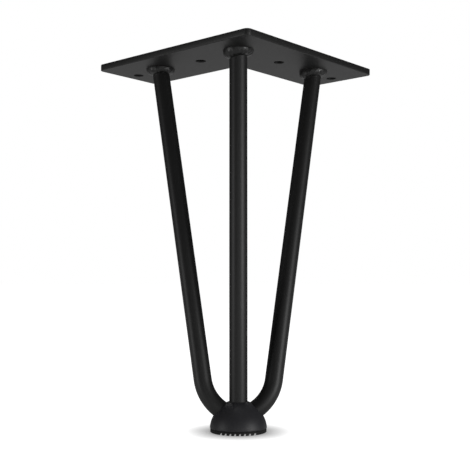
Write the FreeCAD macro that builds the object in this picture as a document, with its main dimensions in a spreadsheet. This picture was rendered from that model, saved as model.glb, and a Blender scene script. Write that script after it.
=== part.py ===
import FreeCAD, Part
import Sketcher
import math
import os

# A three-rod hairpin table leg, in millimetres. The origin lies on the plate's top face, where the
# two lines of screw holes cross. X runs along one arm of the plate, Y along the other, Z up.
SIZES = {
    "arm_length": 125,
    "arm_width": 50,
    "plate_thickness": 4,
    "corner_radius": 3,
    "inner_corner_radius": 2,
    "screw_line_inset": 25,
    "near_screw": 59,
    "end_screw_setback": 10,
    "screw_hole_diameter": 6.2,
    "hole_edge_break": 0.4,
    "rod_diameter": 10.5,
    "leg_height": 220,
    "foot_diagonal": 34,
    "foot_sideways": 2.75,
    "leg_top_diagonal": 82,
    "leg_top_spread": 98,
    "leg_floor_spread": 32.7,
    "shoulder_radius": 25,
    "toe_radius": 14,
    "bend_height": 8.8,
    "weld_size": 3.8,
    "weld_toe": 0.35,
    "joint_weld_size": 0.6,
    "joint_weld_depth": 0.8,
    "rod_end_gap": 0.3,
    "foot_diameter": 32.8,
    "foot_belly_height": 1,
    "foot_crown_radius": 15.5,
    "foot_height": 18.05,
    "foot_rim_break": 0.4,
    "hollow_floor_radius": 13,
    "hollow_top_radius": 8,
    "hollow_height": 9.8,
    "bend_seat": 0.4,
    "sole_inset": 0.35,
    "sole_thickness": 2,
    "tread_pitch": 2.7,
    "tread_groove_count": 8,
    "tread_groove_width": 1.25,
    "tread_groove_depth": 1.1,
    "tread_turn": 9,
    "tread_shift": 0.8,
}

# The foot stands on the plate's diagonal, so the rods are drawn in a frame turned by this angle.
DIAGONAL_TURN = -45

# Points nearer to each other than this are one point.
SAME_POINT = 0.01

# Expressions that several pieces share. The hairpin lies in one plane, which leans back from the
# toe of its bend to the tops of its two legs.
LEAN_RUN = "(Sizes.leg_top_diagonal - Sizes.foot_diagonal)"
LEAN_RISE = "(Sizes.leg_height - Sizes.bend_height)"
LEAN = f"atan({LEAN_RUN} / {LEAN_RISE})"
TOE_INNER_RADIUS = "(Sizes.toe_radius - Sizes.rod_diameter / 2)"
TOE_RISE = f"({TOE_INNER_RADIUS} - sqrt({TOE_INNER_RADIUS}^2 - (Sizes.rod_diameter / 2)^2))"
BEND_CROWN = "(Sizes.bend_height + Sizes.rod_diameter / 2)"
ROD_END = f"({BEND_CROWN} + {TOE_RISE} + Sizes.rod_end_gap)"
HALF_TOP = "(Sizes.leg_top_spread / 2)"
HALF_FLOOR = "(Sizes.leg_floor_spread / 2)"
LEFT_TOP = f"({HALF_TOP} - Sizes.foot_sideways)"
RIGHT_TOP = f"({HALF_TOP} + Sizes.foot_sideways)"
LEAN_SLOPE = f"({LEAN_RUN} / {LEAN_RISE})"
LEFT_SLOPE = f"(({HALF_FLOOR} - {LEFT_TOP}) / Sizes.leg_height)"
RIGHT_SLOPE = f"(({RIGHT_TOP} - {HALF_FLOOR}) / Sizes.leg_height)"

doc = FreeCAD.newDocument("hairpin_leg")


def make_sheet():
    """Write each driving size into a spreadsheet cell with its own alias."""
    sheet = doc.addObject("Spreadsheet::Sheet", "Sizes")
    for row, (name, value) in enumerate(SIZES.items(), start=1):
        sheet.set(f"A{row}", name)
        sheet.set(f"B{row}", str(value))
        sheet.setAlias(f"B{row}", name)
    doc.recompute()


def new_body(name, on_floor=True):
    """Start a body at the plate's outer corner, level with the floor or with the plate's top."""
    body = doc.addObject("PartDesign::Body", name)
    body.Label = name
    if on_floor:
        turn = FreeCAD.Rotation(FreeCAD.Vector(0, 0, 1), DIAGONAL_TURN)
        body.Placement = FreeCAD.Placement(FreeCAD.Vector(), turn)
        body.setExpression(".Placement.Base.z", "-Sizes.leg_height - Sizes.plate_thickness")
    body.setExpression(".Placement.Base.x", "-Sizes.screw_line_inset")
    body.setExpression(".Placement.Base.y", "-Sizes.screw_line_inset")
    return body


def attach(item, body, plane, offset):
    """Attach a sketch or solid to one of the body's own planes, moved by expressions."""
    support = next(feature for feature in body.Origin.OriginFeatures if feature.Role == plane)
    item.AttachmentSupport = [(support, "")]
    item.MapMode = "FlatFace"
    for letter, expression in offset:
        item.setExpression(f".AttachmentOffset.Base.{letter}", expression)


def turn_about(item, axis, angle):
    """Turn an attached sketch or solid by an expression."""
    item.AttachmentOffset = FreeCAD.Placement(item.AttachmentOffset.Base,
                                              FreeCAD.Rotation(FreeCAD.Vector(*axis), 1))
    item.setExpression(".AttachmentOffset.Rotation.Angle", angle)


def new_sketch(body, name, plane="XY_Plane", offset=()):
    """Start a sketch on one of the body's own planes."""
    sketch = body.newObject("Sketcher::SketchObject", name)
    attach(sketch, body, plane, offset)
    return sketch


def constrain(sketch, kind, *where, name=None, expression=None):
    """Add a constraint. One with an expression is named and follows the spreadsheet."""
    if expression is None:
        sketch.addConstraint(Sketcher.Constraint(kind, *where))
        return
    if kind in ("Radius", "Diameter"):
        start = current_radius(sketch, kind, where[0])
    else:
        start = current_distance(sketch, kind, where)
    index = sketch.addConstraint(Sketcher.Constraint(kind, *where, start))
    sketch.renameConstraint(index, name)
    sketch.setExpression(f".Constraints.{name}", expression)


def current_radius(sketch, kind, edge):
    """The drawn radius or diameter, where the solver starts from."""
    radius = sketch.Geometry[edge].Radius
    return 2 * radius if kind == "Diameter" else radius


def current_distance(sketch, kind, where):
    """The drawn distance between two points, where the solver starts from."""
    first = sketch.getPoint(*where[:2])
    second = sketch.getPoint(*where[2:])
    return second.x - first.x if kind == "DistanceX" else second.y - first.y


def draw_circle(sketch, radius, name, expression):
    """Draw a circle on the sketch's origin."""
    circle = Part.Circle(FreeCAD.Vector(), FreeCAD.Vector(0, 0, 1), radius)
    index = sketch.addGeometry(circle)
    constrain(sketch, "Coincident", index, 3, -1, 1)
    constrain(sketch, "Diameter", index, name=name, expression=expression)


def draw_outline(sketch, points):
    """Draw a closed outline of straight lines and return the lines' numbers."""
    corners = [FreeCAD.Vector(x, y, 0) for x, y in points]
    lines = []
    for start, end in zip(corners, corners[1:] + corners[:1]):
        lines.append(sketch.addGeometry(Part.LineSegment(start, end)))
    for line, following in zip(lines, lines[1:] + lines[:1]):
        constrain(sketch, "Coincident", line, 2, following, 1)
    return lines


def mark_point(sketch, name, line, spot, across, upright):
    """Hold a line to a point that lies at two distances from the sketch's origin."""
    mark = sketch.addGeometry(Part.Point(spot), True)
    origin, point = (-1, 1), (mark, 1)
    sideways = origin + point if spot.x > 0 else point + origin
    upward = origin + point if spot.y > 0 else point + origin
    constrain(sketch, "DistanceX", *sideways, name=f"{name}_across", expression=across)
    constrain(sketch, "DistanceY", *upward, name=f"{name}_up", expression=upright)
    constrain(sketch, "PointOnObject", mark, 1, line)


def edge_names(shape, wanted):
    """The names of a shape's edges that pass a test."""
    return [f"Edge{number}" for number, edge in enumerate(shape.Edges, start=1) if wanted(edge)]


def make_top_plate():
    """The L-shaped plate: laser-cut flat steel with two screw holes in each arm."""
    body = new_body("top_plate", on_floor=False)
    length, width = SIZES["arm_length"], SIZES["arm_width"]
    outline = new_sketch(body, "PlateOutline")
    points = [(0, 0), (length, 0), (length, width), (width, width), (width, length), (0, length)]
    lines = draw_outline(outline, points)
    constrain(outline, "Coincident", lines[0], 1, -1, 1)
    for line in lines[0::2]:
        constrain(outline, "Horizontal", line)
    for line in lines[1::2]:
        constrain(outline, "Vertical", line)
    constrain(outline, "DistanceX", lines[0], 1, lines[0], 2, name="x_arm_length",
              expression="Sizes.arm_length")
    constrain(outline, "DistanceY", lines[5], 2, lines[5], 1, name="y_arm_length",
              expression="Sizes.arm_length")
    constrain(outline, "DistanceY", lines[1], 1, lines[1], 2, name="x_arm_width",
              expression="Sizes.arm_width")
    constrain(outline, "DistanceX", lines[4], 2, lines[4], 1, name="y_arm_width",
              expression="Sizes.arm_width")
    plate = body.newObject("PartDesign::Pad", "Plate")
    plate.Profile = outline
    plate.setExpression("Length", "Sizes.plate_thickness")
    plate.Reversed = True
    doc.recompute()

    def is_upright(edge):
        return abs(edge.Vertexes[0].Z - edge.Vertexes[-1].Z) > SIZES["plate_thickness"] / 2

    def at_notch(edge):
        corner = edge.Vertexes[0]
        return is_upright(edge) and math.hypot(corner.X - width, corner.Y - width) < SAME_POINT

    rounded = body.newObject("PartDesign::Fillet", "OuterCorners")
    rounded.Base = (plate, edge_names(plate.Shape, lambda edge: is_upright(edge)
                                      and not at_notch(edge)))
    rounded.setExpression("Radius", "Sizes.corner_radius")
    doc.recompute()
    notch = body.newObject("PartDesign::Fillet", "InnerCorner")
    notch.Base = (rounded, edge_names(rounded.Shape, at_notch))
    notch.setExpression("Radius", "Sizes.inner_corner_radius")

    holes = new_sketch(body, "ScrewHoles")
    radius = SIZES["screw_hole_diameter"] / 2
    inset = SIZES["screw_line_inset"]
    screws = (
        ("near", SIZES["near_screw"], "Sizes.near_screw"),
        ("end", length - SIZES["end_screw_setback"], "Sizes.arm_length - Sizes.end_screw_setback"),
    )
    for name, place, expression in screws:
        for arm, centre in (("x", (place, inset)), ("y", (inset, place))):
            circle = Part.Circle(FreeCAD.Vector(*centre, 0), FreeCAD.Vector(0, 0, 1), radius)
            index = holes.addGeometry(circle)
            along, across = ("DistanceX", "DistanceY") if arm == "x" else ("DistanceY", "DistanceX")
            constrain(holes, along, -1, 1, index, 3, name=f"{arm}_{name}_along",
                      expression=expression)
            constrain(holes, across, -1, 1, index, 3, name=f"{arm}_{name}_across",
                      expression="Sizes.screw_line_inset")
            constrain(holes, "Diameter", index, name=f"{arm}_{name}_diameter",
                      expression="Sizes.screw_hole_diameter")
    drilled = body.newObject("PartDesign::Pocket", "DrilledHoles")
    drilled.Profile = holes
    drilled.Type = "ThroughAll"
    doc.recompute()

    def is_hole_rim(edge):
        is_circle = isinstance(edge.Curve, Part.Circle) and len(edge.Vertexes) == 1
        return is_circle and abs(edge.Curve.Radius - radius) < SAME_POINT

    broken = body.newObject("PartDesign::Chamfer", "HoleEdges")
    broken.Base = (drilled, edge_names(drilled.Shape, is_hole_rim))
    broken.setExpression("Size", "Sizes.hole_edge_break")
    return body


def leg_curve(side):
    """Where one straight leg meets its shoulder bend, and the shoulder meets the toe bend.

    Works in the hairpin's own plane, from the toe of the bend, with the leg on the positive side.
    Returns the shoulder's centre and the angles of its two ends.
    """
    run = SIZES["leg_top_diagonal"] - SIZES["foot_diagonal"]
    rise = SIZES["leg_height"] - SIZES["bend_height"]
    stretch = math.hypot(run, rise) / rise
    top = FreeCAD.Vector(SIZES["leg_top_spread"] / 2 + side * SIZES["foot_sideways"],
                         rise * stretch, 0)
    floor = FreeCAD.Vector(SIZES["leg_floor_spread"] / 2, -SIZES["bend_height"] * stretch, 0)
    along = (top - floor).normalize()
    inward = FreeCAD.Vector(-along.y, along.x, 0)
    toe_centre = FreeCAD.Vector(0, SIZES["toe_radius"], 0)
    from_toe = floor + inward * SIZES["shoulder_radius"] - toe_centre
    apart = SIZES["shoulder_radius"] - SIZES["toe_radius"]
    middle = from_toe.dot(along)
    reach = math.sqrt(middle ** 2 - from_toe.dot(from_toe) + apart ** 2)
    shoulder_centre = toe_centre + from_toe + along * (reach - middle)
    down = toe_centre - shoulder_centre
    return top, shoulder_centre, math.atan2(down.y, down.x), math.atan2(-inward.y, -inward.x)


def mirror_x(point):
    """The same point on the other side of the hairpin's middle line."""
    return FreeCAD.Vector(-point.x, point.y, 0)


def trim_at_plate(body):
    """Cut a body level with the plate's underside."""
    above = new_sketch(body, "PlateUnderside", offset=(("z", "Sizes.leg_height"),))
    draw_circle(above, SIZES["leg_top_spread"] + SIZES["leg_top_diagonal"], "cut_reach",
                "2 * (Sizes.leg_top_spread + Sizes.leg_top_diagonal)")
    trim = body.newObject("PartDesign::Pocket", "LevelCut")
    trim.Profile = above
    trim.Type = "ThroughAll"
    trim.Reversed = True


def make_hairpin_rod():
    """One round bar bent into a hairpin, its ends cut level where they meet the plate."""
    body = new_body("hairpin_rod")
    offset = (("x", "-Sizes.foot_sideways"), ("y", "Sizes.bend_height"), ("z", "-Sizes.foot_diagonal"))
    path = new_sketch(body, "BendLine", "XZ_Plane", offset)
    turn_about(path, (-1, 0, 0), LEAN)
    upward = FreeCAD.Vector(0, 0, 1)
    toe_centre = FreeCAD.Vector(0, SIZES["toe_radius"], 0)
    shoulder = SIZES["shoulder_radius"]

    left_top, left_centre, left_low, left_high = leg_curve(-1)
    right_top, right_centre, right_low, right_high = leg_curve(1)
    left_arc = Part.ArcOfCircle(Part.Circle(mirror_x(left_centre), upward, shoulder),
                                math.pi - left_high, math.pi - left_low)
    toe_arc = Part.ArcOfCircle(Part.Circle(toe_centre, upward, SIZES["toe_radius"]),
                               math.pi - left_low, 2 * math.pi + right_low)
    right_arc = Part.ArcOfCircle(Part.Circle(right_centre, upward, shoulder), right_low, right_high)
    above_plate = FreeCAD.Vector(0, SIZES["plate_thickness"], 0)
    left_leg = path.addGeometry(Part.LineSegment(mirror_x(left_top) + above_plate,
                                                 left_arc.StartPoint))
    left_bend = path.addGeometry(left_arc)
    toe_bend = path.addGeometry(toe_arc)
    right_bend = path.addGeometry(right_arc)
    right_leg = path.addGeometry(Part.LineSegment(right_arc.EndPoint, right_top + above_plate))

    constrain(path, "Tangent", left_leg, 2, left_bend, 1)
    constrain(path, "Tangent", left_bend, 2, toe_bend, 1)
    constrain(path, "Tangent", toe_bend, 2, right_bend, 1)
    constrain(path, "Tangent", right_bend, 2, right_leg, 1)
    constrain(path, "PointOnObject", toe_bend, 3, -2)
    constrain(path, "DistanceY", -1, 1, toe_bend, 3, name="toe_centre", expression="Sizes.toe_radius")
    constrain(path, "Radius", toe_bend, name="toe_bend", expression="Sizes.toe_radius")
    constrain(path, "Radius", left_bend, name="left_shoulder", expression="Sizes.shoulder_radius")
    constrain(path, "Radius", right_bend, name="right_shoulder", expression="Sizes.shoulder_radius")
    reach = f"({LEAN_RISE} + Sizes.plate_thickness) / cos({LEAN})"
    constrain(path, "DistanceY", -1, 1, left_leg, 1, name="left_reach", expression=reach)
    constrain(path, "DistanceY", -1, 1, right_leg, 2, name="right_reach", expression=reach)

    top_level = f"{LEAN_RISE} / cos({LEAN})"
    floor_level = f"Sizes.bend_height / cos({LEAN})"
    right_floor = FreeCAD.Vector(SIZES["leg_floor_spread"] / 2, -SIZES["bend_height"], 0)
    mark_point(path, "left_top", left_leg, mirror_x(left_top), LEFT_TOP, top_level)
    mark_point(path, "left_floor", left_leg, mirror_x(right_floor), HALF_FLOOR, floor_level)
    mark_point(path, "right_top", right_leg, right_top, RIGHT_TOP, top_level)
    mark_point(path, "right_floor", right_leg, right_floor, HALF_FLOOR, floor_level)
    doc.recompute()

    section = body.newObject("Sketcher::SketchObject", "BarSection")
    section.AttachmentSupport = [(path, "Edge1")]
    section.MapMode = "NormalToEdge"
    draw_circle(section, SIZES["rod_diameter"] / 2, "bar_diameter", "Sizes.rod_diameter")
    bar = body.newObject("PartDesign::AdditivePipe", "BentBar")
    bar.Profile = section
    bar.Spine = (path, [f"Edge{number}" for number in range(1, 6)])
    doc.recompute()

    trim_at_plate(body)
    return body


def make_corner_rod():
    """The straight third rod, from the plate's corner down into the hairpin's bend."""
    body = new_body("corner_rod")
    offset = (("x", "-Sizes.foot_sideways"), ("y", "Sizes.foot_diagonal"), ("z", ROD_END))
    section = new_sketch(body, "RodSection", offset=offset)
    draw_circle(section, SIZES["rod_diameter"] / 2, "rod_diameter", "Sizes.rod_diameter")
    rod = body.newObject("PartDesign::Pad", "Rod")
    rod.Profile = section
    rod.setExpression("Length", f"Sizes.leg_height - {ROD_END}")
    return body


def subtract(name, base, *tools):
    """Cut each tool from the base in turn and give the result its own label."""
    for number, tool in enumerate(tools, start=1):
        cut = doc.addObject("Part::Cut", f"{name}_{number}" if number < len(tools) else name)
        cut.Base = base
        cut.Tool = tool
        base = cut
    cut.Label = name
    return cut


def make_plate_weld(name, rod, top, slope=("0", "0")):
    """A fillet weld all round a rod: a cone on the rod's own line, cut level at the plate."""
    body = new_body(f"{name}_blank")
    cone = body.newObject("PartDesign::AdditiveCone", f"{name}Cone")
    aside, back = slope
    offset = (
        ("x", f"{top[0]} - {aside} * Sizes.weld_size"),
        ("y", f"{top[1]} - {back} * Sizes.weld_size"),
        ("z", "Sizes.leg_height - Sizes.weld_size"),
    )
    attach(cone, body, "XY_Plane", offset)
    stretch = f"sqrt(1 + {aside}^2 + {back}^2)"
    if rod.Label == "hairpin_rod":
        turn_about(cone, (1, 1, 0), f"acos(1 / {stretch})")
        cone.setExpression(".AttachmentOffset.Rotation.Axis.x", f"-{back}")
        cone.setExpression(".AttachmentOffset.Rotation.Axis.y", aside)
    cone.setExpression("Radius1", "Sizes.rod_diameter / 2 + Sizes.weld_toe")
    cone.setExpression("Radius2", "Sizes.rod_diameter / 2 + 2 * Sizes.weld_size - Sizes.weld_toe")
    cone.setExpression("Height", f"2 * Sizes.weld_size * {stretch}")
    trim_at_plate(body)
    doc.recompute()
    return subtract(name, body, rod)


def make_joint_weld(hairpin_rod):
    """The weld that fills in between the corner rod's end and the crown of the bend."""
    body = new_body("rod_joint_weld_blank")
    start = f"{BEND_CROWN} - Sizes.joint_weld_depth"
    offset = (("x", "-Sizes.foot_sideways"), ("y", "Sizes.foot_diagonal"), ("z", start))
    disc = new_sketch(body, "JointWeldDisc", offset=offset)
    draw_circle(disc, SIZES["rod_diameter"] / 2 + SIZES["joint_weld_size"], "joint_diameter",
                "Sizes.rod_diameter + 2 * Sizes.joint_weld_size")
    lump = body.newObject("PartDesign::Pad", "JointWeldLump")
    lump.Profile = disc
    lump.setExpression("Length", f"{ROD_END} - ({start})")
    doc.recompute()
    return subtract("rod_joint_weld", body, hairpin_rod)


def make_foot_cup(*inside):
    """The moulded foot: a hollow dome that grips the three rods where they go in."""
    body = new_body("foot_cup_blank")
    offset = (("x", "-Sizes.foot_sideways"), ("z", "-Sizes.foot_diagonal"))
    profile = new_sketch(body, "FootProfile", "XZ_Plane", offset)
    side_radius, crown_radius = SIZES["foot_diameter"] / 2, SIZES["foot_crown_radius"]
    rim_break, base = SIZES["foot_rim_break"], SIZES["sole_thickness"]
    belly, crown_level = SIZES["foot_belly_height"], SIZES["foot_height"] - crown_radius
    upward = FreeCAD.Vector(0, 0, 1)
    rim_level = base + rim_break
    side_start = math.asin((rim_level - belly) / side_radius)
    side_end = math.asin((side_radius - crown_radius) / (crown_level - belly))
    side_arc = Part.ArcOfCircle(Part.Circle(FreeCAD.Vector(0, belly, 0), upward, side_radius),
                                side_start, side_end)
    crown_arc = Part.ArcOfCircle(Part.Circle(FreeCAD.Vector(0, crown_level, 0), upward, crown_radius),
                                 side_end, math.pi / 2)
    rim_start = FreeCAD.Vector(side_arc.StartPoint.x - rim_break, base, 0)
    foot_middle = FreeCAD.Vector(0, base, 0)
    bottom = profile.addGeometry(Part.LineSegment(foot_middle, rim_start))
    rim = profile.addGeometry(Part.LineSegment(rim_start, side_arc.StartPoint))
    side = profile.addGeometry(side_arc)
    flank = profile.addGeometry(Part.LineSegment(side_arc.EndPoint, crown_arc.StartPoint))
    crown = profile.addGeometry(crown_arc)
    axis = profile.addGeometry(Part.LineSegment(crown_arc.EndPoint, foot_middle))
    for line, following in ((side, flank), (flank, crown)):
        constrain(profile, "Tangent", line, 2, following, 1)
    for line, following in ((bottom, rim), (rim, side), (crown, axis), (axis, bottom)):
        constrain(profile, "Coincident", line, 2, following, 1)
    constrain(profile, "Horizontal", bottom)
    for line, point in ((axis, 1), (axis, 2), (side, 3), (crown, 3)):
        constrain(profile, "PointOnObject", line, point, -2)
    constrain(profile, "DistanceX", rim, 1, rim, 2, name="rim_out", expression="Sizes.foot_rim_break")
    constrain(profile, "DistanceY", rim, 1, rim, 2, name="rim_up", expression="Sizes.foot_rim_break")
    constrain(profile, "Diameter", side, name="side_diameter", expression="Sizes.foot_diameter")
    constrain(profile, "Radius", crown, name="crown_radius", expression="Sizes.foot_crown_radius")
    constrain(profile, "DistanceY", -1, 1, side, 3, name="belly", expression="Sizes.foot_belly_height")
    constrain(profile, "DistanceY", -1, 1, crown, 2, name="dome_top", expression="Sizes.foot_height")
    constrain(profile, "DistanceY", -1, 1, axis, 2, name="cup_base", expression="Sizes.sole_thickness")
    dome = body.newObject("PartDesign::Revolution", "Dome")
    dome.Profile = profile
    dome.ReferenceAxis = (profile, ["V_Axis"])
    dome.Angle = 360
    doc.recompute()

    hollow = body.newObject("PartDesign::SubtractiveCone", "Hollow")
    seat = "Sizes.bend_height - Sizes.rod_diameter / 2 + Sizes.bend_seat"
    attach(hollow, body, "XY_Plane", (("x", "-Sizes.foot_sideways"), ("y", "Sizes.foot_diagonal"),
                                      ("z", seat)))
    hollow.setExpression("Radius1", "Sizes.hollow_floor_radius")
    hollow.setExpression("Radius2", "Sizes.hollow_top_radius")
    hollow.setExpression("Height", "Sizes.hollow_height")
    doc.recompute()
    return subtract("foot_cup", body, *inside)


def make_foot_sole():
    """The rubber pad under the foot. Its tread grooves run a little off the plate's diagonal."""
    body = new_body("foot_sole")
    across = (("x", "-Sizes.foot_sideways"), ("y", "Sizes.foot_diagonal"))
    disc = new_sketch(body, "SoleDisc", offset=across)
    draw_circle(disc, SIZES["foot_diameter"] / 2 - SIZES["sole_inset"], "sole_diameter",
                "Sizes.foot_diameter - 2 * Sizes.sole_inset")
    pad = body.newObject("PartDesign::Pad", "Sole")
    pad.Profile = disc
    pad.setExpression("Length", "Sizes.sole_thickness")

    first = "((Sizes.tread_groove_count - 1) / 2 * Sizes.tread_pitch - Sizes.tread_shift)"
    offset = (("x", f"-Sizes.foot_sideways - {first} * cos(Sizes.tread_turn)"),
              ("z", f"-Sizes.foot_diagonal - {first} * sin(Sizes.tread_turn)"))
    groove = new_sketch(body, "TreadGroove", "XZ_Plane", offset)
    turn_about(groove, (0, -1, 0), "Sizes.tread_turn")
    half, deep = SIZES["tread_groove_width"] / 2, SIZES["tread_groove_depth"]
    lines = draw_outline(groove, [(-half, -deep), (half, -deep), (half, deep), (-half, deep)])
    for line in lines[0::2]:
        constrain(groove, "Horizontal", line)
    for line in lines[1::2]:
        constrain(groove, "Vertical", line)
    constrain(groove, "Symmetric", lines[0], 1, lines[1], 2, -1, 1)
    constrain(groove, "DistanceX", lines[0], 1, lines[0], 2, name="groove_width",
              expression="Sizes.tread_groove_width")
    constrain(groove, "DistanceY", lines[1], 1, lines[1], 2, name="groove_depth",
              expression="2 * Sizes.tread_groove_depth")
    cut = body.newObject("PartDesign::Pocket", "Groove")
    cut.Profile = groove
    cut.Type = "ThroughAll"
    cut.Midplane = True
    doc.recompute()
    pattern = body.newObject("PartDesign::LinearPattern", "Tread")
    pattern.Originals = [cut]
    pattern.Direction = (groove, ["H_Axis"])
    pattern.setExpression("Occurrences", "Sizes.tread_groove_count")
    pattern.setExpression("Length", "(Sizes.tread_groove_count - 1) * Sizes.tread_pitch")
    body.Tip = pattern
    return body


def check_and_export(pieces):
    """Stop on any failed object or bad shape, then write one file for each piece."""
    doc.recompute()
    failed = [item.Name for item in doc.Objects if {"Invalid", "Error"} & set(item.State)]
    if failed:
        raise RuntimeError("These objects failed: " + ", ".join(failed))
    for piece in pieces:
        if piece.Shape.isNull() or not piece.Shape.isValid() or len(piece.Shape.Solids) != 1:
            raise RuntimeError(piece.Label + " has no single valid solid")
    os.makedirs("parts", exist_ok=True)
    for piece in pieces:
        piece.Shape.exportStep(f"parts/{piece.Label}.step")
        print(piece.Label, round(piece.Shape.Volume, 1), "mm3")


make_sheet()
top_plate = make_top_plate()
hairpin_rod = make_hairpin_rod()
corner_rod = make_corner_rod()
weld_corner = make_plate_weld("weld_corner", corner_rod,
                              ("-Sizes.foot_sideways", "Sizes.foot_diagonal"))
weld_left = make_plate_weld("weld_left", hairpin_rod,
                            (f"-{HALF_TOP}", "Sizes.leg_top_diagonal"), (LEFT_SLOPE, LEAN_SLOPE))
weld_right = make_plate_weld("weld_right", hairpin_rod,
                             (HALF_TOP, "Sizes.leg_top_diagonal"), (RIGHT_SLOPE, LEAN_SLOPE))
rod_joint_weld = make_joint_weld(hairpin_rod)
foot_cup = make_foot_cup(hairpin_rod, corner_rod, rod_joint_weld)
foot_sole = make_foot_sole()
check_and_export([top_plate, hairpin_rod, corner_rod, weld_corner, weld_left, weld_right,
                  rod_joint_weld, foot_cup, foot_sole])
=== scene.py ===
import bmesh
import bpy
import math
from mathutils import Matrix, Vector, noise


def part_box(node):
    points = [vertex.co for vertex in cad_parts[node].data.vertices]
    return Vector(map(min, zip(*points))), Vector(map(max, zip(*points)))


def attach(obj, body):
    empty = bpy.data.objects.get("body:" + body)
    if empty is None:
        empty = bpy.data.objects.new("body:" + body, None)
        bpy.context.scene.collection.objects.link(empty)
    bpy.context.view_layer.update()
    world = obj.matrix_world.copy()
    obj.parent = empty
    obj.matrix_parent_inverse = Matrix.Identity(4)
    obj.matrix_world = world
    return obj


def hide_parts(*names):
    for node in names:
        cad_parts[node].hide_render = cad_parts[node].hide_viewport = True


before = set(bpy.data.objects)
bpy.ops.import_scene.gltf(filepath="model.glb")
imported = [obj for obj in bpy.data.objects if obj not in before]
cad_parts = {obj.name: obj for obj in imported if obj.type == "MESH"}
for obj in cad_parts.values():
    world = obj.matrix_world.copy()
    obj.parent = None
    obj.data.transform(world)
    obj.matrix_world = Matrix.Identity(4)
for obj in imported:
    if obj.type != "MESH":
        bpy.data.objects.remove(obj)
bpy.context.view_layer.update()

# Top plate
# A flat steel L, laser-cut from 4 mm sheet, with two screw holes in each arm. It is screwed up
# under a table's corner. Tumbling and the coat leave its edges slightly round.
MM = 0.001
plate_low, plate_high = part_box("top_plate")
plate_thickness = plate_high.z - plate_low.z
underside = plate_low.z
arm_length = plate_high.x - plate_low.x
arm_width = 50 * MM
outer_corner_radius = 3 * MM
inner_corner_radius = 2 * MM
corner_steps = 8
edge_rounding = 0.45 * MM
screw_line_inset = 25 * MM
screw_places = (59 * MM, 115 * MM)
screw_hole_radius = 3.1 * MM
screw_hole_sides = 72


def arc_points(centre, radius, start, end, steps):
    """Points along an arc in the plane, angles in degrees."""
    angles = [math.radians(start + (end - start) * step / steps) for step in range(steps + 1)]
    return [(centre[0] + radius * math.cos(a), centre[1] + radius * math.sin(a)) for a in angles]


def add_closed_spline(curve, points):
    """Add one closed outline to a flat curve."""
    spline = curve.splines.new("POLY")
    spline.points.add(len(points) - 1)
    for spot, (x, y) in zip(spline.points, points):
        spot.co = (x, y, 0, 1)
    spline.use_cyclic_u = True


def mesh_object(name, mesh, smooth_angle=None):
    """Link a mesh as an object, shaded smooth up to an angle in degrees."""
    piece = bpy.data.objects.new(name, mesh)
    bpy.context.scene.collection.objects.link(piece)
    for polygon in mesh.polygons:
        polygon.use_smooth = True
    if smooth_angle is not None:
        mesh.set_sharp_from_angle(angle=math.radians(smooth_angle))
    return piece


def plate_outline():
    """The L with its corners rounded, counter-clockwise from the outer corner."""
    left, low = plate_low.x, plate_low.y
    right, high = left + arm_length, low + arm_length
    inner_x, inner_y = left + arm_width, low + arm_width
    outer, inner = outer_corner_radius, inner_corner_radius
    corners = (((left + outer, low + outer), outer, 180, 270),
               ((right - outer, low + outer), outer, 270, 360),
               ((right - outer, inner_y - outer), outer, 0, 90),
               ((inner_x + inner, inner_y + inner), inner, 270, 180),
               ((inner_x - outer, high - outer), outer, 0, 90),
               ((left + outer, high - outer), outer, 90, 180))
    points = []
    for centre, radius, start, end in corners:
        points += arc_points(centre, radius, start, end, corner_steps)
    return points


def make_top_plate():
    """Cut the outline and the holes from a curve that is thickened with rounded edges."""
    curve = bpy.data.curves.new("top_plate_outline", "CURVE")
    curve.dimensions = "2D"
    curve.fill_mode = "BOTH"
    curve.extrude = plate_thickness / 2 - edge_rounding
    curve.bevel_depth = edge_rounding
    curve.bevel_resolution = 3
    curve.offset = -edge_rounding
    add_closed_spline(curve, plate_outline())
    for place in screw_places:
        along, inset = place + plate_low.x, screw_line_inset + plate_low.y
        for centre in ((along, inset), (inset, along)):
            add_closed_spline(curve, arc_points(centre, screw_hole_radius, 360,
                                                360 / screw_hole_sides, screw_hole_sides - 1))
    blank = bpy.data.objects.new("top_plate_blank", curve)
    bpy.context.scene.collection.objects.link(blank)
    bpy.context.view_layer.update()
    mesh = bpy.data.meshes.new_from_object(
        blank.evaluated_get(bpy.context.evaluated_depsgraph_get()))
    bpy.data.objects.remove(blank)
    mesh.transform(Matrix.Translation((0, 0, (plate_low.z + plate_high.z) / 2)))
    return mesh_object("plate", mesh, smooth_angle=50)


def linear(hex_colour):
    """An sRGB hex colour as linear RGBA."""
    channels = [int(hex_colour[i:i + 2], 16) / 255 for i in (1, 3, 5)]
    return [c / 12.92 if c <= 0.04045 else ((c + 0.055) / 1.055) ** 2.4 for c in channels] + [1]


def add_node(tree, kind, settings=None, links=None):
    """Add a shader node. Its sockets go by name or number, its other settings by name."""
    node = tree.nodes.new(kind)
    for name, value in (settings or {}).items():
        if isinstance(name, int) or name in node.inputs:
            node.inputs[name].default_value = value
        else:
            setattr(node, name, value)
    for name, source in (links or {}).items():
        tree.links.new(source, node.inputs[name])
    return node


def new_material(name):
    """A new node material, with its shader and its object coordinates."""
    material = bpy.data.materials.new(name)
    material.use_nodes = True
    tree = material.node_tree
    place = add_node(tree, "ShaderNodeTexCoord").outputs["Object"]
    return material, tree, tree.nodes["Principled BSDF"], place


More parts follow.
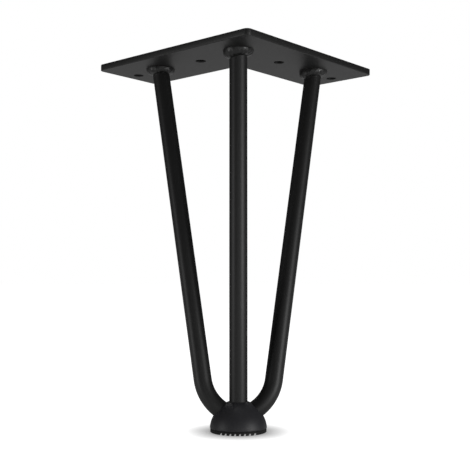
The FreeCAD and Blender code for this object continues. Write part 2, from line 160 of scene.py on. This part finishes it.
def powder_coat(name, dark, light, roughness):
    """Satin black powder coat: polyester powder, sprayed on and cured to one film.

    It gives soft, wide highlights, broken up by a faint orange peel. The real grain is about
    0.05 mm across. It is drawn coarser, so that it shows in a close view.
    """
    peel_size, grain_size, cloud_size = 1.6 * MM, 0.35 * MM, 18 * MM
    peel_height, grain_share, gloss_change = 0.02 * MM, 0.35, 0.05
    material, tree, shader, place = new_material(name)
    peel = add_node(tree, "ShaderNodeTexNoise", {"Scale": 1 / peel_size, "Detail": 2.0},
                    {"Vector": place})
    grain = add_node(tree, "ShaderNodeTexNoise", {"Scale": 1 / grain_size, "Detail": 3.0},
                     {"Vector": place})
    cloud = add_node(tree, "ShaderNodeTexNoise", {"Scale": 1 / cloud_size, "Detail": 3.0},
                     {"Vector": place})
    colour = add_node(tree, "ShaderNodeMix",
                      {"data_type": "RGBA", "A": linear(dark), "B": linear(light)},
                      {"Factor": cloud.outputs["Fac"]})
    gloss = add_node(tree, "ShaderNodeMapRange",
                     {"To Min": roughness - gloss_change, "To Max": roughness + gloss_change},
                     {"Value": grain.outputs["Fac"]})
    height = add_node(tree, "ShaderNodeMath", {"operation": "MULTIPLY_ADD", 1: grain_share},
                      {0: grain.outputs["Fac"], 2: peel.outputs["Fac"]})
    bump = add_node(tree, "ShaderNodeBump", {"Strength": 1.0, "Distance": peel_height},
                    {"Height": height.outputs["Value"]})
    tree.links.new(colour.outputs["Result"], shader.inputs["Base Color"])
    tree.links.new(gloss.outputs["Result"], shader.inputs["Roughness"])
    tree.links.new(bump.outputs["Normal"], shader.inputs["Normal"])
    shader.inputs["IOR"].default_value = 1.5
    return material


def dress(piece, material, slot, *nodes):
    """Give a piece its finish, let it ride on the leg, and hide the solids that it stands for."""
    piece.data.materials.clear()
    piece.data.materials.append(material)
    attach(piece, "root")
    if nodes:
        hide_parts(*nodes)


plate_coat = powder_coat("satin_black_powder_coat_on_sheet", "#1c1c1c", "#212121", 0.46)
dress(make_top_plate(), plate_coat, "powder_coat_plate", "top_plate")

# Hairpin rod
# One round steel bar of 10 mm, 10.5 mm over its coat, bent cold into a hairpin. Two shoulder bends
# run into a tighter toe bend inside the foot. The ends are cut level and welded under the arms.
rod_radius = 5.25 * MM
floor_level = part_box("foot_sole")[0].z
foot_diagonal = 34 * MM
foot_sideways = 2.75 * MM
leg_top_diagonal = 82 * MM
leg_top_half_spread = 49 * MM
leg_floor_half_spread = 16.35 * MM
shoulder_radius = 25 * MM
toe_radius = 14 * MM
bend_height = 8.8 * MM
bend_steps = 24
leg_steps = 40
across = Vector((1, -1, 0)).normalized()
inward = Vector((1, 1, 0)).normalized()
outer_corner = Vector((plate_low.x, plate_low.y, floor_level))
leg_height = underside - floor_level
lean = math.atan2(leg_top_diagonal - foot_diagonal, leg_height - bend_height)


def local_point(side, depth, height):
    """A point measured from the plate's outer corner, at floor level: across, inward and up."""
    return outer_corner + across * side + inward * depth + Vector((0, 0, height))


toe_point = local_point(-foot_sideways, foot_diagonal, bend_height)
up_the_hairpin = inward * math.sin(lean) + Vector((0, 0, math.cos(lean)))


def half_hairpin(side):
    """One half of the bend line, from the toe to the end of a leg at the plate's underside.

    It is drawn flat, as a toe arc, a shoulder arc and a straight leg, and is then leant back.
    """
    stretch = 1 / math.cos(lean)
    top = Vector((leg_top_half_spread + side * foot_sideways, (leg_height - bend_height) * stretch))
    floor = Vector((leg_floor_half_spread, -bend_height * stretch))
    along = (top - floor).normalized()
    normal = Vector((-along.y, along.x))
    toe_centre = Vector((0, toe_radius))
    offset = floor + normal * shoulder_radius - toe_centre
    gap = shoulder_radius - toe_radius
    middle = offset.dot(along)
    shoulder_centre = toe_centre + offset + along * (
        math.sqrt(middle ** 2 - offset.length_squared + gap ** 2) - middle)
    down = toe_centre - shoulder_centre
    join = math.degrees(math.atan2(down.y, down.x))
    leave = math.degrees(math.atan2(-normal.y, -normal.x))
    flat = arc_points(toe_centre, toe_radius, -90, join, bend_steps)
    flat += arc_points(shoulder_centre, shoulder_radius, join, leave, bend_steps)[1:]
    start = Vector(flat[-1])
    flat += [tuple(start.lerp(top, step / leg_steps)) for step in range(1, leg_steps + 1)]
    return [toe_point + across * (side * x) + up_the_hairpin * y for x, y in flat]


def sweep_bar(name, line, radius, sides=72):
    """A round bar along a line, with its ends cut level."""
    mesh = bpy.data.meshes.new(name)
    shape = bmesh.new()
    rings = []
    previous = (line[1] - line[0]).normalized()
    around = previous.orthogonal().normalized()
    for index, spot in enumerate(line):
        before, after = line[max(index - 1, 0)], line[min(index + 1, len(line) - 1)]
        direction = (after - before).normalized()
        around = previous.rotation_difference(direction) @ around
        around = (around - direction * around.dot(direction)).normalized()
        beside = direction.cross(around)
        previous = direction
        ring = []
        for side in range(sides):
            angle = 2 * math.pi * side / sides
            point = spot + (around * math.cos(angle) + beside * math.sin(angle)) * radius
            if index in (0, len(line) - 1):
                point += direction * ((spot.z - point.z) / direction.z)
            ring.append(shape.verts.new(point))
        rings.append(ring)
    for lower, upper in zip(rings, rings[1:]):
        for side in range(sides):
            following = (side + 1) % sides
            shape.faces.new((lower[side], lower[following], upper[following], upper[side]))
    shape.faces.new(list(reversed(rings[0])))
    shape.faces.new(rings[-1])
    bmesh.ops.recalc_face_normals(shape, faces=shape.faces)
    shape.to_mesh(mesh)
    shape.free()
    return mesh_object(name, mesh, smooth_angle=40)


rod_coat = powder_coat("satin_black_powder_coat_on_bar", "#1a1a1a", "#202020", 0.46)
left_half, right_half = half_hairpin(-1), half_hairpin(1)
hairpin = sweep_bar("hairpin", list(reversed(left_half)) + right_half[1:], rod_radius)
dress(hairpin, rod_coat, "powder_coat_rod", "hairpin_rod")

# Corner rod
# A straight length of the same bar. It stands upright under the plate's corner, and its square-cut
# lower end is welded into the hairpin's bend.
rod_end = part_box("corner_rod")[0].z
rod_steps = 60
corner_top = local_point(-foot_sideways, foot_diagonal, leg_height)
corner_foot = Vector((corner_top.x, corner_top.y, rod_end))
corner_line = [corner_top.lerp(corner_foot, step / rod_steps) for step in range(rod_steps + 1)]
corner_bar = sweep_bar("upright_rod", corner_line, rod_radius)
dress(corner_bar, rod_coat, "powder_coat_rod", "corner_rod")

# Weld beads under the plate
# A full bead of weld runs all round each rod. The wire leaves small ripples, which the coat
# softens, and the bead sags on the side where its end overlaps its start.
bead_size = 3.8 * MM
bead_fullness = 1.0 * MM
bead_depth_share = 0.87
bead_sides, bead_steps = 180, 14
# How far the bead's face and its hidden back reach into the rod.
into_rod, deep_into_rod = 0.05 * MM, 0.6 * MM
ripple_pitch = 3.2 * MM
ripple_depth = 0.1 * MM
ripple_sweep = 5
overlap_angle = 155
overlap_spread = 70
overlap_swelling = 0.3 * MM
# How much the bead's reach, depth and ripples wander on the way round the rod, and how quickly.
unsteady_reach, unsteady_depth, unsteady_ripple = 0.06, 0.1, 2
slow_wander, quick_wander = 1.5, 2


def make_bead(name, middle, direction, sag, seed):
    """A ring with a full, rippled face between the plate's underside and the rod."""
    mesh = bpy.data.meshes.new(name)
    shape = bmesh.new()
    ripples = round(2 * math.pi * (rod_radius + bead_size) / ripple_pitch)
    rings = []
    for side in range(bead_sides):
        angle = 2 * math.pi * side / bead_sides
        outward = Vector((math.cos(angle), math.sin(angle), 0))
        slow = noise.noise(outward * slow_wander + Vector((seed, 0, 0)))
        quick = noise.noise(outward * quick_wander + Vector((0, seed, 0)))
        lump = math.exp(-((math.degrees(angle) - overlap_angle) / overlap_spread) ** 2)
        reach = rod_radius + bead_size * (1 + unsteady_reach * slow)
        drop = bead_size * (bead_depth_share + sag * lump + unsteady_depth * quick)
        plate_end = middle + outward * reach
        on_axis = middle - direction * (drop / direction.z)
        rod_end_point = on_axis + outward * (rod_radius - into_rod)
        normal = (outward - Vector((0, 0, 1))).normalized()
        ring = []
        for step in range(bead_steps + 1):
            share = step / bead_steps
            ripple = math.sin(ripples * angle + ripple_sweep * share ** 2 + unsteady_ripple * slow)
            swell = bead_fullness + overlap_swelling * lump + ripple_depth * ripple
            face = plate_end.lerp(rod_end_point, share)
            ring.append(face + normal * (math.sin(math.pi * share) * swell))
        ring.append(on_axis + outward * (rod_radius - deep_into_rod))
        ring.append(middle + outward * (rod_radius - deep_into_rod))
        rings.append([shape.verts.new(point) for point in ring])
    count = len(rings[0])
    for side in range(bead_sides):
        here, there = rings[side], rings[(side + 1) % bead_sides]
        for step in range(count):
            after = (step + 1) % count
            shape.faces.new((here[step], there[step], there[after], here[after]))
    bmesh.ops.recalc_face_normals(shape, faces=shape.faces)
    shape.to_mesh(mesh)
    shape.free()
    return mesh_object(name, mesh, smooth_angle=60)


# The film flows together on the rounded bead, so its highlights are smaller and brighter there.
weld_coat = powder_coat("satin_black_powder_coat_on_weld", "#181818", "#1e1e1e", 0.33)
left_up = (left_half[-1] - left_half[-2]).normalized()
right_up = (right_half[-1] - right_half[-2]).normalized()
for bead_name, node, middle, direction, sag, seed in (
        ("bead_corner", "weld_corner", corner_top, Vector((0, 0, 1)), 0.5, 0),
        ("bead_left", "weld_left", left_half[-1], left_up, 0.2, 7.3),
        ("bead_right", "weld_right", right_half[-1], right_up, 0.5, 14.6)):
    bead = make_bead(bead_name, middle, direction, sag, seed)
    dress(bead, weld_coat, "powder_coat_weld", node)

# Weld inside the foot
# A steel weld joins the corner rod to the hairpin's bend. It is laid before the foot is pushed on,
# and the foot hides it.
inner_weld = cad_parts["rod_joint_weld"]
inner_weld.data.materials.clear()
inner_weld.data.materials.append(weld_coat)

# Foot cup
# A soft black plastic moulding that closes round the bottom of the three rods. It is hollow, the
# bend rests on a seat in its floor, and it has a rounded lip where each rod goes in.
foot_radius = 16.4 * MM
foot_belly_height = 1 * MM
crown_radius = 15.5 * MM
foot_height = 18.05 * MM
rim_rounding = 0.5 * MM
rim_steps, side_steps, crown_steps = 6, 18, 48
bend_seat = 0.4 * MM
hollow_floor = bend_height - rod_radius + bend_seat
hollow_height = 9.8 * MM
hollow_floor_radius = 13 * MM
hollow_top_radius = 8 * MM
# The weld's room runs this far into the corner rod's socket. Faces that only touch leave slivers.
cutter_overlap = 0.06 * MM
lip_mesh_size = 0.235 * MM
lip_smoothing = 8
sole_thickness = 2 * MM
foot_centre = local_point(-foot_sideways, foot_diagonal, 0)


def foot_profile():
    """The dome's outline, from the middle of its base to its top: two arcs and a tangent line."""
    crown_level = foot_height - crown_radius
    slope = math.degrees(math.asin(
        (foot_radius - crown_radius) / (crown_level - foot_belly_height)))
    rim_level = sole_thickness + rim_rounding
    rim_out = math.sqrt((foot_radius - rim_rounding) ** 2 - (rim_level - foot_belly_height) ** 2)
    start = math.degrees(math.atan2(rim_level - foot_belly_height, rim_out))
    points = [(0, sole_thickness)]
    points += arc_points((rim_out, rim_level), rim_rounding, -90, start, rim_steps)
    points += arc_points((0, foot_belly_height), foot_radius, start, slope, side_steps)[1:]
    points += arc_points((0, crown_level), crown_radius, slope, 90, crown_steps)
    return points


def turn_profile(name, points, sides=128):
    """A solid of revolution about the foot's axis. A point of almost no radius is a pole."""
    pole_radius = 1e-7
    mesh = bpy.data.meshes.new(name)
    shape = bmesh.new()
    rings = []
    for radius, height in points:
        count = 1 if radius < pole_radius else sides
        reach = 0 if radius < pole_radius else radius
        angles = [2 * math.pi * side / sides for side in range(count)]
        rings.append([shape.verts.new(foot_centre + Vector((
            reach * math.cos(angle), reach * math.sin(angle), height))) for angle in angles])
    for lower, upper in zip(rings, rings[1:]):
        for side in range(sides):
            following = (side + 1) % sides
            corners = dict.fromkeys((lower[side % len(lower)], lower[following % len(lower)],
                                     upper[following % len(upper)], upper[side % len(upper)]))
            shape.faces.new(list(corners))
    bmesh.ops.recalc_face_normals(shape, faces=shape.faces)
    shape.to_mesh(mesh)
    shape.free()
    return mesh_object(name, mesh)


def apply_modifiers(piece):
    """Replace a piece's mesh by its mesh after modifiers."""
    bpy.context.view_layer.update()
    finished = bpy.data.meshes.new_from_object(
        piece.evaluated_get(bpy.context.evaluated_depsgraph_get()))
    piece.modifiers.clear()
    piece.data = finished
    for polygon in finished.polygons:
        polygon.use_smooth = True


def cut_away(piece, tools):
    """Cut each tool from a piece."""
    for tool in tools:
        cut = piece.modifiers.new("cut", "BOOLEAN")
        cut.object = tool
        cut.solver = "EXACT"
    apply_modifiers(piece)


def make_foot():
    """The dome with its hollow and sockets. Smoothing a fine mesh of it rounds the lips."""
    foot = turn_profile("foot", foot_profile())
    hollow_top = hollow_floor + hollow_height
    hollow = turn_profile("foot_hollow", [
        (0, hollow_floor), (hollow_floor_radius, hollow_floor),
        (hollow_top_radius, hollow_top), (0, hollow_top)])
    weld_low, weld_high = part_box("rod_joint_weld")
    weld_radius = (weld_high.x - weld_low.x) / 2
    room_floor, room_top = weld_low.z - floor_level, weld_high.z - floor_level + cutter_overlap
    weld_room = turn_profile("weld_room", [
        (0, room_floor), (weld_radius, room_floor), (weld_radius, room_top), (0, room_top)])
    cut_away(foot, (hollow, weld_room, hairpin, corner_bar))
    bpy.data.objects.remove(hollow)
    bpy.data.objects.remove(weld_room)
    remesh = foot.modifiers.new("soften", "REMESH")
    remesh.mode = "VOXEL"
    remesh.voxel_size = lip_mesh_size
    smooth = foot.modifiers.new("round_lips", "SMOOTH")
    smooth.iterations = lip_smoothing
    apply_modifiers(foot)
    return foot


def matt_moulding(name, dark, light, roughness):
    """A matt black moulding: a spark-eroded mould leaves an even, fine grain on it.

    It gives a dull, even dark with only faint, wide highlights, on the rubber sole even fewer. The
    real grain is about 0.1 mm across. It is drawn coarser, so that it shows in a close view.
    """
    grain_size, grain_height, cloud_size = 0.3 * MM, 0.02 * MM, 9 * MM
    material, tree, shader, place = new_material(name)
    grain = add_node(tree, "ShaderNodeTexNoise", {"Scale": 1 / grain_size, "Detail": 3.0},
                     {"Vector": place})
    cloud = add_node(tree, "ShaderNodeTexNoise", {"Scale": 1 / cloud_size, "Detail": 2.0},
                     {"Vector": place})
    colour = add_node(tree, "ShaderNodeMix",
                      {"data_type": "RGBA", "A": linear(dark), "B": linear(light)},
                      {"Factor": cloud.outputs["Fac"]})
    bump = add_node(tree, "ShaderNodeBump", {"Strength": 1.0, "Distance": grain_height},
                    {"Height": grain.outputs["Fac"]})
    tree.links.new(colour.outputs["Result"], shader.inputs["Base Color"])
    tree.links.new(bump.outputs["Normal"], shader.inputs["Normal"])
    shader.inputs["Roughness"].default_value = roughness
    shader.inputs["IOR"].default_value = 1.5
    return material


foot_finish = matt_moulding("matt_black_moulded_foot", "#2f2f33", "#363639", 0.48)
dress(make_foot(), foot_finish, "foot_plastic", "foot_cup")

# Foot sole
# A black rubber pad with straight tread grooves, bonded under the foot. Seen along the grooves, the
# pale floor shows through them as a row of dots.
sole_inset = 0.35 * MM
sole_radius = foot_radius - sole_inset
sole_edge_break = 0.15 * MM
groove_count = 8
groove_pitch = 2.7 * MM
groove_width = 1.25 * MM
groove_depth = 1.1 * MM
diagonal_turn = -45
groove_turn = 9
groove_shift = 0.8 * MM


def make_sole():
    """A disc with grooves cut across it, turned a little from the plate's diagonal."""
    inner_radius = sole_radius - sole_edge_break
    sole = turn_profile("sole", [
        (0, 0), (inner_radius, 0), (sole_radius, sole_edge_break),
        (sole_radius, sole_thickness - sole_edge_break), (inner_radius, sole_thickness),
        (0, sole_thickness)])
    shape = bmesh.new()
    size = Matrix.Diagonal((groove_width, 3 * sole_radius, 2 * groove_depth, 1))
    turn = Matrix.Rotation(math.radians(diagonal_turn - groove_turn), 4, "Z")
    for number in range(groove_count):
        shift = (number - (groove_count - 1) / 2) * groove_pitch + groove_shift
        place = Matrix.Translation(foot_centre) @ turn @ Matrix.Translation((shift, 0, 0))
        bmesh.ops.create_cube(shape, size=1, matrix=place @ size)
    mesh = bpy.data.meshes.new("tread_cutter")
    shape.to_mesh(mesh)
    shape.free()
    cutter = mesh_object("tread_cutter", mesh)
    cut_away(sole, (cutter,))
    bpy.data.objects.remove(cutter)
    sole.data.set_sharp_from_angle(angle=math.radians(30))
    return sole


rubber = matt_moulding("matt_black_rubber", "#141414", "#191919", 0.7)
dress(make_sole(), rubber, "sole_rubber", "foot_sole")

# Floor and light
# White paper under the leg and a white background. The main soft lamp is on the right, with weaker
# ones on the left, in front, overhead and behind. Most stand low, as the lower faces are brightest.
floor_size = 60.0
gloss_of_floor = 0.26
gloss_of_background = 0.02
room_light = 0.02
# Round the foot the floor's glow falls to a share. This paints shade on the floor and in the
# grooves under the foot.
painted_shade_start, painted_shade_end = 16 * MM, 32 * MM
glow_in_painted_shade = 0.3


def background_rays(tree, glossy_share):
    """How much of the white background a ray sees. Camera rays and rays through glass see it all.

    Glossy rays see only a share, as a satin coat mirrors little. With all of it, the black coat
    would get pale outlines.
    """
    rays = add_node(tree, "ShaderNodeLightPath")
    seen = add_node(tree, "ShaderNodeMath", {"operation": "MAXIMUM"},
                    {0: rays.outputs["Is Camera Ray"], 1: rays.outputs["Is Transmission Ray"]})
    gloss = add_node(tree, "ShaderNodeMath", {"operation": "MULTIPLY_ADD", 1: glossy_share},
                     {0: rays.outputs["Is Glossy Ray"], 2: seen.outputs["Value"]})
    return gloss.outputs["Value"]


def make_floor():
    """A large plane at the foot's level. Its glow is lowered near the foot: a painted shade that
    also lets the real shadow show.
    """
    mesh = bpy.data.meshes.new("floor")
    half = floor_size / 2
    mesh.from_pydata([(-half, -half, 0), (half, -half, 0), (half, half, 0), (-half, half, 0)],
                     [], [(0, 1, 2, 3)])
    mesh.transform(Matrix.Translation((0, 0, floor_level)))
    floor = mesh_object("floor", mesh)
    material, tree, shader, place = new_material("white_paper_floor")
    for name, value in (("Base Color", linear("#e0e0e0")), ("Roughness", 0.9),
                        ("Specular IOR Level", 0.1), ("Emission Color", linear("#ffffff"))):
        shader.inputs[name].default_value = value
    reach = add_node(tree, "ShaderNodeVectorMath", {"operation": "DISTANCE", 1: foot_centre},
                     {0: place})
    # Painted shade: the glow falls towards the foot and darkens the floor round it and under it.
    white = add_node(tree, "ShaderNodeMapRange",
                     {"From Min": painted_shade_start, "From Max": painted_shade_end, "To Min": glow_in_painted_shade},
                     {"Value": reach.outputs["Value"]})
    glow = add_node(tree, "ShaderNodeMath", {"operation": "MULTIPLY"},
                    {0: background_rays(tree, gloss_of_floor), 1: white.outputs["Result"]})
    tree.links.new(glow.outputs["Value"], shader.inputs["Emission Strength"])
    mesh.materials.append(material)


def add_lamp(name, azimuth, elevation, distance, width, height, power):
    """A soft box aimed at the middle of the leg. Azimuth is measured from the plate's diagonal."""
    target = foot_centre + Vector((0, 0, leg_height / 2))
    turn, rise = math.radians(azimuth), math.radians(elevation)
    flat = -inward * math.cos(turn) + across * math.sin(turn)
    away = flat * math.cos(rise) + Vector((0, 0, math.sin(rise)))
    light = bpy.data.lights.new(name, "AREA")
    light.shape = "RECTANGLE"
    light.size = width
    light.size_y = height
    light.energy = power
    lamp = bpy.data.objects.new(name, light)
    bpy.context.scene.collection.objects.link(lamp)
    lamp.location = target + away * distance
    lamp.rotation_euler = (-away).to_track_quat("-Z", "Y").to_euler()


make_floor()
# Each lamp: azimuth and elevation in degrees, distance, width and height in metres, watts.
for lamp in (("right_softbox", 50, 3, 1.2, 0.55, 0.34, 4.7),
             ("left_softbox", -72, 3, 1.2, 0.45, 0.34, 1.8),
             ("front_softbox", 0, 3, 1.5, 1.0, 0.36, 1.2),
             ("overhead_softbox", 0, 90, 1.6, 0.5, 0.5, 3),
             ("back_softbox", 178, 45, 1.6, 0.8, 0.6, 3.0)):
    add_lamp(*lamp)

world = bpy.data.worlds.new("studio")
bpy.context.scene.world = world
world.use_nodes = True
sky = world.node_tree
backdrop = sky.nodes["Background"]
backdrop.inputs["Color"].default_value = linear("#ffffff")
strength = add_node(sky, "ShaderNodeMapRange", {"To Min": room_light},
                    {"Value": background_rays(sky, gloss_of_background)})
sky.links.new(strength.outputs["Result"], backdrop.inputs["Strength"])

# Camera
# Below the plate and above the foot, to the left of the plate's diagonal, as the photograph was
# taken. It looks slightly up and to the right, by angles in radians. The focal length is in the
# photograph's pixels, and the view is enlarged so that the leg fills it.
eye = local_point(-37.6 * MM, -464 * MM, 84.7 * MM)
look_right, look_up = 0.066, 0.055
frame_pixels, focal_pixels, enlargement = 470, 597, 1.45
toward = (inward * math.cos(look_right) + across * math.sin(look_right)) * math.cos(look_up)
toward += Vector((0, 0, math.sin(look_up)))
camera_data = bpy.data.cameras.new("camera")
camera_data.sensor_width = 36
camera_data.lens = camera_data.sensor_width * focal_pixels * enlargement / frame_pixels
camera = bpy.data.objects.new("camera", camera_data)
bpy.context.scene.collection.objects.link(camera)
camera.location = eye
camera.rotation_euler = toward.to_track_quat("-Z", "Y").to_euler()
bpy.context.scene.camera = camera
bpy.context.scene.view_settings.view_transform = "Standard"
